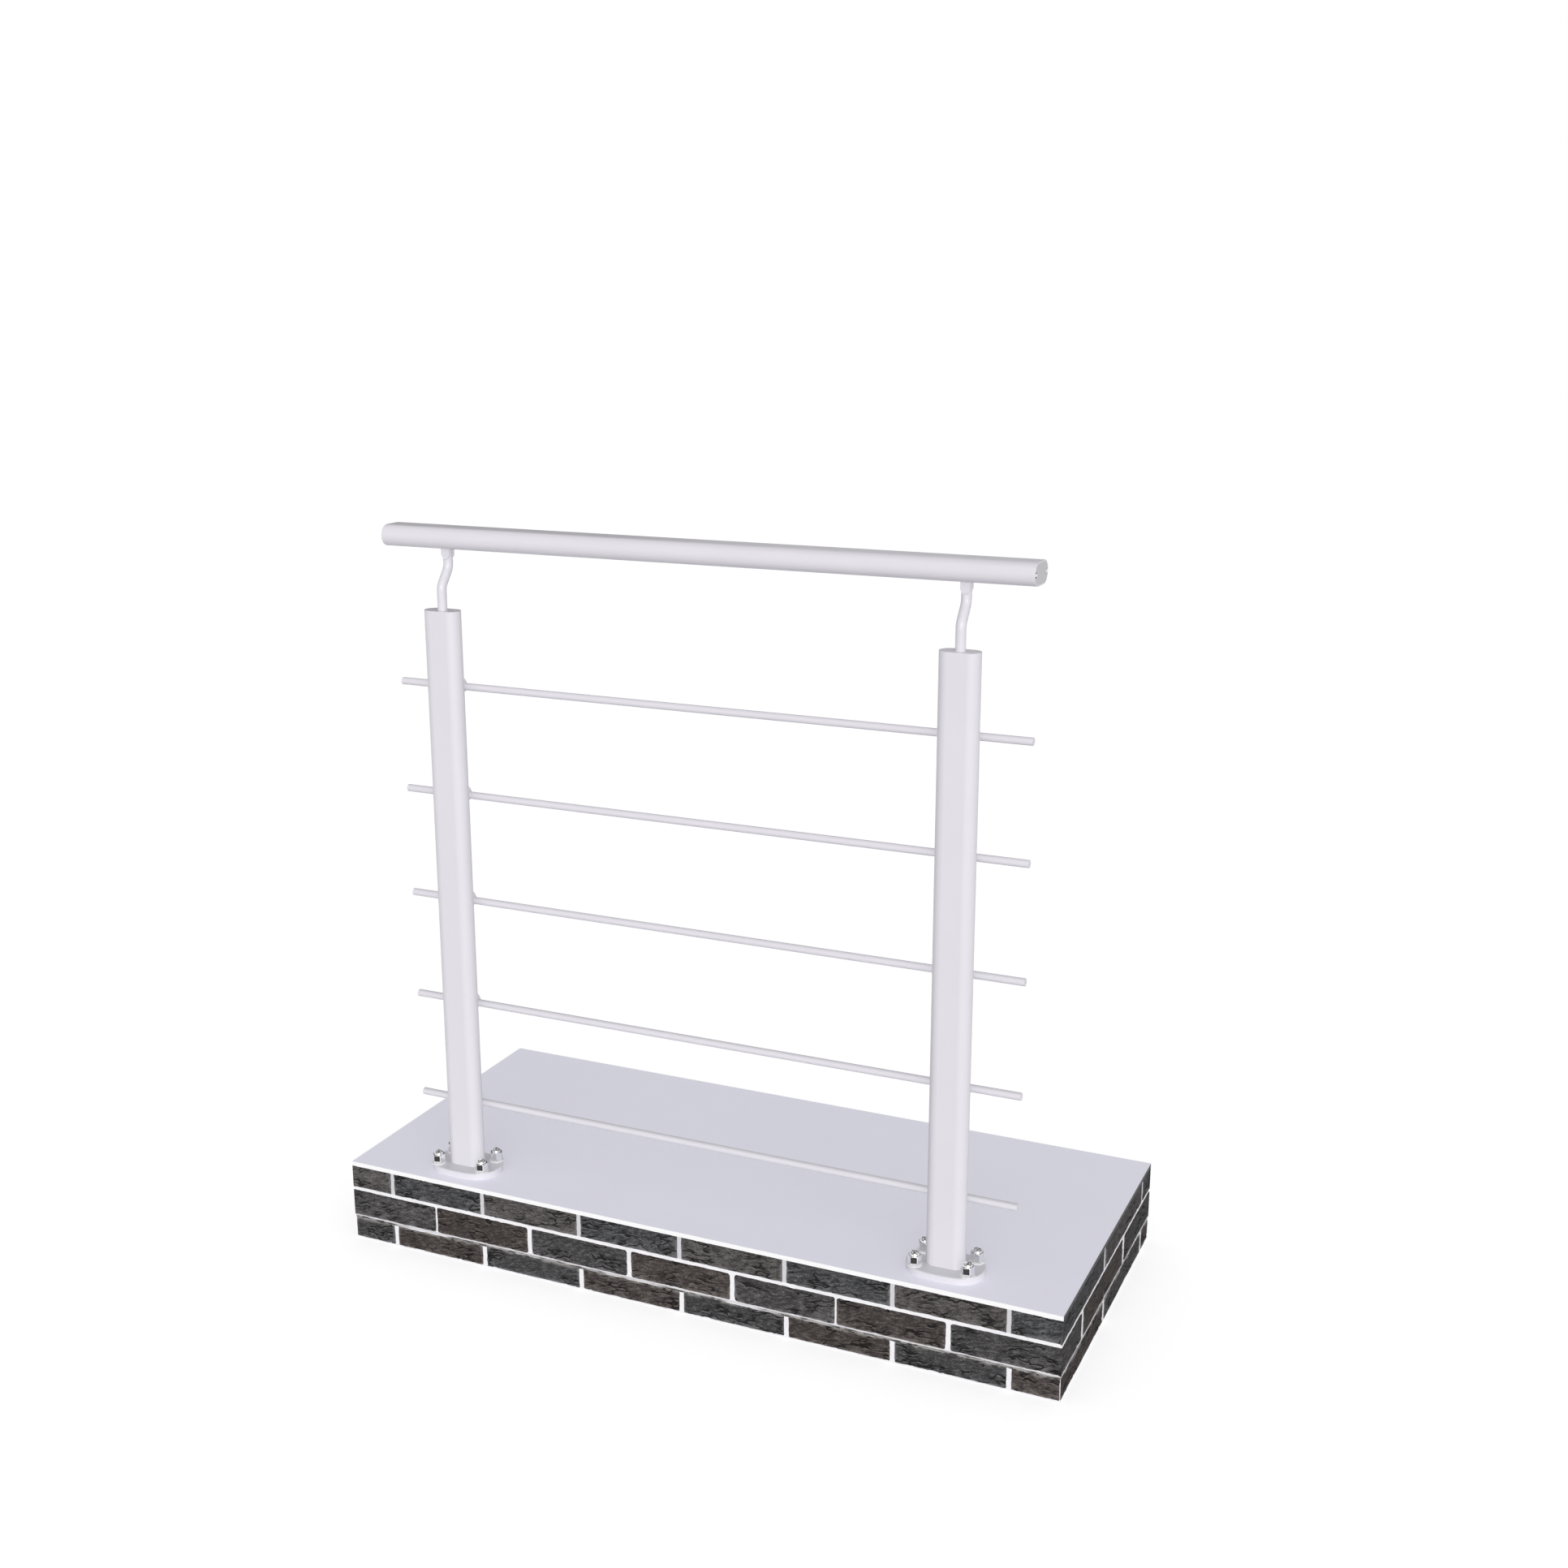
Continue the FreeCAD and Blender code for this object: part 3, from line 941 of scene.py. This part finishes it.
def fired_clay():
    material, bench, surface, on_plinth = new_material("fired_clay")
    level = bench.parts_of(on_plinth)[2]
    bottom_course = 1.0 - level.between(courses["bottom"]["high"], courses["middle"]["low"])
    place = bench.stored("slip_place", "Vector")
    rim, brown, pale = (bench.stored(name) for name in ("slip_rim", "brown", "pale"))
    x, y, number = bench.parts_of(place)
    up = bench.parts_of(bench.stored("cell", "Vector"))[1]
    flakes = flake_tone(bench, place)
    grit = bench.noise(place, 400.0, 3.0, 0.7)
    patches = bench.noise(bench.join(x, y, number), 30.0, 3.0, 0.55)
    # Painted shade in the creases and in the darkest flakes.
    painted_crease_shade = creases(bench, place, crease_width).most((1.0 - flakes.between(0.33, 0.39)) * 0.7)
    # Painted highlight on a lip beside each crease.
    painted_lip_highlight = creases(bench, bench.join(x + 0.4 * mm, y + 1.3 * mm, number), lip_highlight_width)
    at_foot = (0.5 - up).between(0.45, 1.0) * patches.between(0.42, 0.62)
    at_rim = (1.0 - rim.between(1.0 * mm, 6.0 * mm)) * (1.0 - up.between(0.1, 0.4))
    tone_share = (flakes - 0.5) * dust_and_lip_highlight["flakes"] + (patches - 0.5) * dust_and_lip_highlight["patches"]
    tone_share = tone_share + (grit - 0.5) * dust_and_lip_highlight["grit"] + pale * dust_and_lip_highlight["pale"] + at_foot * dust_and_lip_highlight["foot"]
    tone_share = tone_share + at_rim * patches.between(0.34, 0.54) * dust_and_lip_highlight["rim"] + painted_lip_highlight * dust_and_lip_highlight["painted_lip_highlight"]
    body = bench.mix(brown, charcoal, brown_clay)
    dust_and_lit_colour = bench.mix(brown, charcoal_dust_and_lit, brown_dust_and_lit)
    colour = bench.mix(tone_share.most(0.0).least(1.0), body, dust_and_lit_colour)
    upper_rim = (1.0 - rim.between(0.5 * mm, 2.2 * mm)) * up.between(0.3, 0.45)
    colour = bench.mix(upper_rim * (1.0 - bottom_course) * 0.45, colour, brown_clay)
    smear = (1.0 - rim.between(0.5 * mm, 5.0 * mm)) * up.between(0.2, 0.4) * bottom_course
    colour = bench.mix(smear * patches.between(0.44, 0.56) * 0.5, colour, mortar_smear)
    colour = bench.mix(painted_crease_shade * 0.95, colour, crease_shade_colour)
    height = flakes + grit * 0.35 - painted_crease_shade * 0.8 + painted_lip_highlight * 0.3
    set_sockets(bench, surface, {
        "Base Color": colour,
        "Roughness": grit * 0.15 + 0.72,
        "Specular IOR Level": 0.08,
        "Normal": bump(bench, height, 0.9, relief),
    })
    return material


clay_finish = fired_clay()
print("clad with:", clay_finish.name)

# %% [markdown]
# The mortar is white, but not everywhere. Its head joints in the top course have weathered to a pale grey.
# Under the middle course the bed joint is rough: below a line of duller white lies darker mortar with small
# holes, partly older mortar and partly a painted shade. The ends of the plinth were pointed more cleanly. The
# heights of the courses and the direction of a face tell the material where it is.

# %% The material of the joints
fresh_mortar = (0.90, 0.89, 0.91)
weathered_mortar = (0.64, 0.63, 0.65)
# Older mortar darkened further as a painted shade, for the rough band under the middle course.
old_mortar_and_shade = (0.27, 0.26, 0.245)
mortar_holes = (0.06, 0.055, 0.05)


def white_mortar():
    material, bench, surface, place = new_material("white_mortar")
    x, y, z = bench.parts_of(place)
    smears = bench.noise(place, 34.0, 4.0, 0.6)
    grain = bench.noise(place, 900.0, 3.0, 0.7)
    stretches = bench.noise(bench.join(x, y, 0.0), 7.0, 2.0)
    flecks = bench.noise(bench.join(x * 48.0, y * 48.0, z * 300.0), 1.0, 4.0, 0.6)
    in_top_course = z.between(courses["top"]["low"], courses["top"]["low"] + 1 * mm)
    colour = bench.mix(smears.between(0.45, 0.75) * 0.25, fresh_mortar, weathered_mortar)
    colour = bench.mix(in_top_course * (smears * 0.4 + 0.8), colour, weathered_mortar)
    wander = (smears - 0.5) * (5.0 * mm)
    lower_bed_top = courses["middle"]["low"] - 1.2 * mm
    lower_bed = (lower_bed_top + wander - z).between(0.0, 1.2 * mm)
    lower_bed = lower_bed * (z - (courses["bottom"]["high"] - 1.5 * mm)).between(0.0, 1 * mm)
    at_the_ends = bench.facing()[0].size().between(0.4, 0.6)
    # The rough band under the middle course: partly older mortar, partly painted shade.
    rough_and_shaded = lower_bed * stretches.between(0.36, 0.50) * (1.0 - at_the_ends * 0.65)
    in_lower_bed = (courses["middle"]["low"] + 1 * mm - z).between(0.0, 1 * mm)
    in_lower_bed = in_lower_bed * (z - courses["bottom"]["high"]).between(0.0, 1 * mm)
    colour = bench.mix(in_lower_bed * 0.7, colour, weathered_mortar)
    colour = bench.mix(rough_and_shaded * 0.85, colour, old_mortar_and_shade)
    colour = bench.mix(rough_and_shaded * flecks.between(0.50, 0.56), colour, mortar_holes)
    set_sockets(bench, surface, {
        "Base Color": bench.mix(grain.between(0.6, 0.8) * 0.10, colour, weathered_mortar),
        "Roughness": grain * 0.1 + 0.8,
        "Specular IOR Level": 0.15,
        "Normal": bump(bench, grain * 0.5 + smears - rough_and_shaded, 0.4, 0.5 * mm),
    })
    return material


mortar_finish = white_mortar()
print("pointed with:", mortar_finish.name)

# %% [markdown]
# ## Cladding the four faces
#
# Each face gets two pieces: the slips, from the tree, and the bed of mortar that they are pressed into. The
# bed is a panel with mitred ends, set back a little from the slips' faces. Its front is a fine grid that is
# pushed in and out by a fraction of a millimetre, as a pointing iron leaves it.

# %% From a modifier to a plain mesh
def grown(carrier, tree, inputs, name):
    """What a tree makes of its carrier, as an object of its own, with the carrier removed."""
    modifier = carrier.modifiers.new(name, "NODES")
    modifier.node_group = tree
    for item in tree.interface.items_tree:
        if item.name in inputs:
            modifier[item.identifier] = inputs[item.name]
    bpy.context.view_layer.update()
    evaluated = carrier.evaluated_get(bpy.context.evaluated_depsgraph_get())
    mesh = bpy.data.meshes.new_from_object(evaluated)
    mesh.name = name
    bpy.data.objects.remove(carrier)
    return add_object(name, mesh)


def shade_smooth(mesh, degrees):
    mesh.shade_smooth()
    mesh.set_sharp_from_angle(angle=math.radians(degrees))


print("ready to clad")

# %% Lay the slips
faces = {
    "front": (plinth_length, plinth_depth / 2, 0.0, front_bond),
    "right": (plinth_depth, plinth_length / 2, 90.0, side_bond),
    "back": (plinth_length, plinth_depth / 2, 180.0, front_bond),
    "left": (plinth_depth, plinth_length / 2, 270.0, side_bond),
}


def lay_slips(face, seed):
    face_length, distance, turn, bond = faces[face]
    carrier = bond_points(face, bond, face_length, seed)
    inputs = {"Blank": blank, "Distance": distance, "Turn": math.radians(turn), "Clay": clay_finish}
    slips = grown(carrier, bond_tree, inputs, f"brick_slips_{face}")
    shade_smooth(slips.data, 40)
    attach(slips, "root")
    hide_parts(f"plinth_facing_{face}")
    return slips


for seed, face in enumerate(faces, start=1):
    slips = lay_slips(face, seed)
    print(face, "slips, triangles:", sum(len(p.vertices) - 2 for p in slips.data.polygons))
bpy.data.objects.remove(blank)

# %% Lay the mortar behind them
mortar_cell = 5.0 * mm
trowel_depth = 0.35 * mm
facing_low, facing_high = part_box("plinth_facing_front")
bed_thickness = facing_high.y - facing_low.y - mortar_recess


def lay_mortar(face, seed):
    face_length, distance, turn, _ = faces[face]
    draw = random.Random(seed)
    across_count = round(face_length / mortar_cell)
    up_count = round(coat_underside / mortar_cell)
    reach = face_length / 2 - mortar_recess
    front_y = mortar_recess - distance
    shape = bmesh.new()
    front = []
    for j in range(up_count + 1):
        row = []
        for i in range(across_count + 1):
            at_edge = i in (0, across_count) or j in (0, up_count)
            inwards = 0.0 if at_edge else draw.uniform(0.0, trowel_depth)
            x = reach * (2 * i / across_count - 1)
            row.append(shape.verts.new((x, front_y + inwards, coat_underside * j / up_count)))
        front.append(row)
    drawn_in = (reach - bed_thickness) / reach
    back_y = front_y + bed_thickness
    back = [shape.verts.new((point.co.x * drawn_in, back_y, point.co.z)) for point in grid_rim(front)]
    close_panel(shape, front, back)
    turned = Matrix.Rotation(math.radians(turn), 3, "Z")
    bmesh.ops.rotate(shape, verts=shape.verts, cent=(0, 0, 0), matrix=turned)
    bed = add_body(f"mortar_{face}", shape)
    shade_smooth(bed.data, 40)
    bed.data.materials.append(mortar_finish)
    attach(bed, "root")


for seed, face in enumerate(faces, start=11):
    lay_mortar(face, seed)
print("mortar laid on", len(faces), "faces")

# %% [markdown]
# ## Washers and cap nuts
#
# Each flange is held by four anchors with a washer and a domed cap nut, 17 mm across its flats. The nut is
# turned and then milled six-sided. That is also how it is modelled: a turned profile gives the radius at
# each height, and wherever the hexagon is narrower than the profile, the hexagon wins. Where the turned
# cone crosses the flats, the curved edges of a real nut appear by themselves. A stud reaches down from each
# nut through the anchor hole of the flange.

# %% Profiles of one fastener
nut_flats = 17.0 * mm
nut_height = 13.6 * mm
nut_cone = 1.2 * mm
dome_radius = 7.2 * mm
dome_height = 5.6 * mm
washer_radius = 11.2 * mm
washer_height = 2.0 * mm
washer_edge = 0.4 * mm
stud_radius = 5.0 * mm
stud_length = 9.0 * mm
turns = 72
# Which flat carries the painted dark reflection, how much of it, and from what height.
dark_reflection_flat = 4
dark_reflection_share = 0.93
dark_reflection_from = 3.2 * mm
burnished = {"nut": 1.0, "washer": 0.3, "stud": 0.5}


def washer_profile():
    inner, outer = washer_radius - washer_edge, washer_radius
    return [(0.0, inner), (washer_edge, outer), (washer_height - washer_edge, outer), (washer_height, inner)]


def nut_profile():
    """Straight sides, then a cone whose foot lies outside the hexagon's corners."""
    corner = nut_flats / math.sqrt(3)
    steps = 6
    cone = []
    for step in range(steps + 1):
        share = step / steps
        height = washer_height + nut_height - nut_cone * (1 - share)
        cone.append((height, corner + (nut_flats / 2 - corner) * share))
    sides = [(washer_height + lift, corner) for lift in (0.7 * mm, dark_reflection_from)]
    return [(washer_height, nut_flats / 2), *sides, *cone]


def dome_profile():
    """Half an ellipse, left open by a narrow flat at its pole."""
    steps = 10
    foot = washer_height + nut_height
    rings = [(foot - nut_cone / 2, dome_radius)]
    for step in range(steps):
        lift = math.pi / 2 * step / steps
        rings.append((foot + dome_height * math.sin(lift), dome_radius * math.cos(lift)))
    return rings


print("fastener stands", round((washer_height + nut_height + dome_height) / mm, 1), "mm high")

# %% Turn the profiles
nut_shoulder = washer_height + nut_height - nut_cone + 0.1 * mm


def hexagon_radius(angle):
    """Distance from the middle of a hexagon to its side, in the direction of the angle."""
    sixth = math.radians(60)
    return nut_flats / 2 / math.cos((angle + sixth / 2) % sixth - sixth / 2)


def add_turned(shape, burnish_and_painted_reflection, profile, tone, six_sided=False):
    """A closed turned body from (height, radius) pairs.

    A six-sided one is cut by the hexagon and has a dark patch of painted reflection on one of its flats.
    """
    rings = []
    for height, radius in profile:
        angles = [2 * math.pi * i / turns for i in range(turns)]
        radii = [min(radius, hexagon_radius(angle)) if six_sided else radius for angle in angles]
        ring = [(r * math.cos(a), r * math.sin(a), height) for r, a in zip(radii, angles)]
        rings.append([shape.verts.new(point) for point in ring])
    for low, high in zip(rings, rings[1:]):
        for i in range(turns):
            after = (i + 1) % turns
            side = shape.faces.new((low[i], low[after], high[after], high[i]))
            # The patch of painted dark reflection on one flat of each nut.
            around = ((i + 0.5) / turns * 6 + 0.5) % 6 - dark_reflection_flat
            painted_reflection_patch = 0.0 < around < dark_reflection_share and low[i].co.z > dark_reflection_from and high[i].co.z < nut_shoulder
            side[burnish_and_painted_reflection] = 0.0 if six_sided and painted_reflection_patch else tone
    for cap in (list(reversed(rings[0])), rings[-1]):
        shape.faces.new(cap)[burnish_and_painted_reflection] = tone


def fastener():
    shape = bmesh.new()
    burnish_and_painted_reflection = shape.faces.layers.float.new("burnish_and_painted_reflection")
    add_turned(shape, burnish_and_painted_reflection, washer_profile(), burnished["washer"])
    add_turned(shape, burnish_and_painted_reflection, nut_profile(), burnished["nut"], six_sided=True)
    add_turned(shape, burnish_and_painted_reflection, dome_profile(), burnished["nut"])
    add_turned(shape, burnish_and_painted_reflection, [(-stud_length, stud_radius), (0.0, stud_radius)], burnished["stud"])
    return add_body("fastener", shape)


fastener_model = fastener()
print("one fastener has", len(fastener_model.data.polygons), "faces")

# %% [markdown]
# Eight points on the tops of the flanges carry the fasteners. A second, short tree sets one on each point.
# The nuts behind the posts are turned further than those in front, and each has a little seeded play, because
# a fitter stops where the nut is tight.

# %% The tree that sets the fasteners
anchor_spacing_x = 77.5 * mm
anchor_spacing_y = 42.5 * mm
nut_turn = math.radians(44)
nut_turn_behind = math.radians(154)


def fastener_tree():
    bench, asked, last = new_tree("set_fasteners", {
        "Places": ("Geometry", None),
        "Fastener": ("Object", None),
        "Play": ("Float", math.radians(5)),
        "Seed": ("Int", 4),
        "Steel": ("Material", None),
    }, "Fasteners")
    shape = bench.node("GeometryNodeObjectInfo", None, {"Object": asked["Fastener"]}, "Geometry")
    limits = {"Min": asked["Play"] * -1.0, "Max": asked["Play"], "Seed": asked["Seed"]}
    play = bench.node("FunctionNodeRandomValue", {"data_type": "FLOAT"}, limits, "Value")
    angle = attribute(bench, "turned") + play
    placed = copies(bench, asked["Places"], shape, {"Rotation": bench.join(0.0, 0.0, angle)})
    placed = bench.node("GeometryNodeSetMaterial", None, {"Geometry": placed, "Material": asked["Steel"]})
    bench.feed(last.inputs["Fasteners"], placed)
    return bench.tree


def set_fasteners():
    places = [
        (centre.x + across * anchor_spacing_x / 2, centre.y + along * anchor_spacing_y / 2, flange_top)
        for centre in flange_centres.values()
        for across in (-1, 1)
        for along in (-1, 1)
    ]
    mesh = bpy.data.meshes.new("anchor_places")
    mesh.from_pydata(places, [], [])
    turned = [nut_turn, nut_turn_behind] * (len(places) // 2)
    mesh.attributes.new("turned", "FLOAT", "POINT").data.foreach_set("value", turned)
    carrier = add_object("anchor_places", mesh)
    inputs = {"Fastener": fastener_model, "Steel": steel}
    piece = grown(carrier, fastener_tree(), inputs, "washers_and_cap_nuts")
    shade_smooth(piece.data, 22)
    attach(piece, "root")
    return len(places)


print("fasteners set:", set_fasteners())
bpy.data.objects.remove(fastener_model)

# %% [markdown]
# ## Closing
#
# The box of the construction is printed. The dressed railing must not be larger than the construction.

# %% Print the construction's box
print("construction", [round(v, 4) for v in (*cad_low, *cad_high)])
